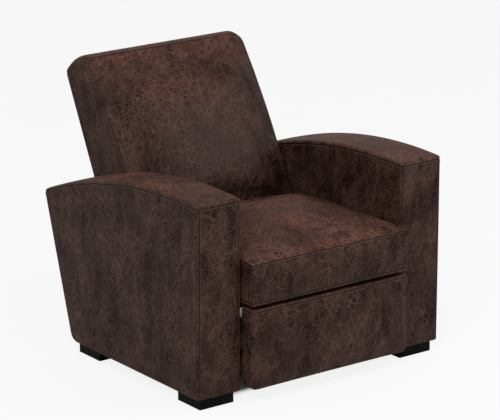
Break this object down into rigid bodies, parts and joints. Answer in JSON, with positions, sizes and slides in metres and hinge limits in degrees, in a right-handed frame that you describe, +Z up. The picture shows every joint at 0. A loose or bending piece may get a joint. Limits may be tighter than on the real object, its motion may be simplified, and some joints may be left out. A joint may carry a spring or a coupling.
{
  "type": "recliner armchair",
  "caption": "Leather push-back recliner armchair with a footrest that swings up as the back leans.",
  "frame": {"origin": "on the floor, under the middle of the chair's overall box", "axes": "+Z up, -Y the front that the sitter faces, +X the sitter's left"},
  "size_m": [0.89, 0.96, 0.8849],
  "materials": {
    "leather": "satin",
    "foot_black": "satin",
    "timber": "matte",
    "steel": "satin",
    "rivet": "satin",
    "webbing": "matte"
  },
  "bodies": {
    "base": {"left_arm_inner_panel": "leather", "left_arm_outer_panel": "leather", "left_arm_top_pad": "leather", "left_arm_front_panel": "leather", "left_arm_rear_panel": "leather", "left_arm_frame": "timber", "right_arm_inner_panel": "leather", "right_arm_outer_panel": "leather", "right_arm_top_pad": "leather", "right_arm_front_panel": "leather", "right_arm_rear_panel": "leather", "right_arm_frame": "timber", "left_front_foot": "foot_black", "left_rear_foot": "foot_black", "left_base_rail": "steel", "right_front_foot": "foot_black", "right_rear_foot": "foot_black", "right_base_rail": "steel", "front_cross_rail": "timber", "rear_cross_rail": "timber", "tail_panel": "leather", "base_pins": "rivet"},
    "front_swings": {"left_front_swing": "steel", "right_front_swing": "steel"},
    "rear_swings": {"left_rear_swing": "steel", "right_rear_swing": "steel"},
    "seat": {"left_seat_plate": "steel", "right_seat_plate": "steel", "tie_tube": "steel", "seat_left_rail": "timber", "seat_right_rail": "timber", "seat_front_rail": "timber", "seat_rear_rail": "timber", "seat_webbing": "webbing", "seat_cushion": "leather", "seat_pins": "rivet"},
    "back": {"back_cushion": "leather", "back_rear_panel": "leather", "left_back_side": "leather", "right_back_side": "leather", "back_frame": "timber", "back_webbing": "webbing", "left_back_bracket": "steel", "right_back_bracket": "steel"},
    "lower_links": {"left_lower_link": "steel", "right_lower_link": "steel", "lower_link_pins": "rivet"},
    "upper_links": {"left_upper_link": "steel", "right_upper_link": "steel", "upper_link_pins": "rivet"},
    "control_links": {"left_control_link": "steel", "right_control_link": "steel"},
    "guide_links": {"left_guide_link": "steel", "right_guide_link": "steel"},
    "footrest": {"footrest_pad": "leather", "footrest_board": "timber", "left_footrest_bracket": "steel", "right_footrest_bracket": "steel", "footrest_pins": "rivet"}
  },
  "joints": [
    {"name": "recline", "type": "hinge", "parent": "base", "child": "front_swings", "pos_m": [0, -0.278, 0.11], "axis": [1, 0, 0], "range_deg": [0, 36]},
    {"name": "rear_swing", "type": "hinge", "parent": "base", "child": "rear_swings", "pos_m": [0, 0.04199, 0.11], "axis": [1, 0, 0], "range_deg": [0, 36.01]},
    {"name": "seat_level", "type": "hinge", "parent": "front_swings", "child": "seat", "pos_m": [0, -0.24246, 0.21937], "axis": [-1, 0, 0], "range_deg": [0, 36.01]},
    {"name": "back_recline", "type": "hinge", "parent": "seat", "child": "back", "pos_m": [0, 0.142, 0.33], "axis": [-1, 0, 0], "range_deg": [0, 30.01]},
    {"name": "footrest_swing", "type": "hinge", "parent": "seat", "child": "lower_links", "pos_m": [0, -0.35, 0.234], "axis": [-1, 0, 0], "range_deg": [0, 92.01]},
    {"name": "footrest_reach", "type": "hinge", "parent": "lower_links", "child": "upper_links", "pos_m": [0, -0.38119, 0.08728], "axis": [1, 0, 0], "range_deg": [0, 146.01]},
    {"name": "footrest_control", "type": "hinge", "parent": "lower_links", "child": "control_links", "pos_m": [0, -0.38826, 0.05402], "axis": [1, 0, 0], "range_deg": [0, 146.01]},
    {"name": "footrest_guide", "type": "hinge", "parent": "seat", "child": "guide_links", "pos_m": [0, -0.3009, 0.2507], "axis": [-1, 0, 0], "range_deg": [0, 81.36]},
    {"name": "footrest_tilt", "type": "hinge", "parent": "upper_links", "child": "footrest", "pos_m": [0, -0.40318, 0.24374], "axis": [-1, 0, 0], "range_deg": [0, 146.01]}
  ],
  "couplings": [
    {"joint": "rear_swing", "follows": "recline", "ratio": 1},
    {"joint": "seat_level", "follows": "recline", "ratio": 1},
    {"joint": "back_recline", "follows": "recline", "ratio": 0.83333},
    {"joint": "footrest_swing", "follows": "recline", "ratio": 2.5556},
    {"joint": "footrest_reach", "follows": "recline", "ratio": 4.0556},
    {"joint": "footrest_control", "follows": "recline", "ratio": 4.0556},
    {"joint": "footrest_guide", "follows": "recline", "ratio": 2.2597},
    {"joint": "footrest_tilt", "follows": "recline", "ratio": 4.0556}
  ]
}
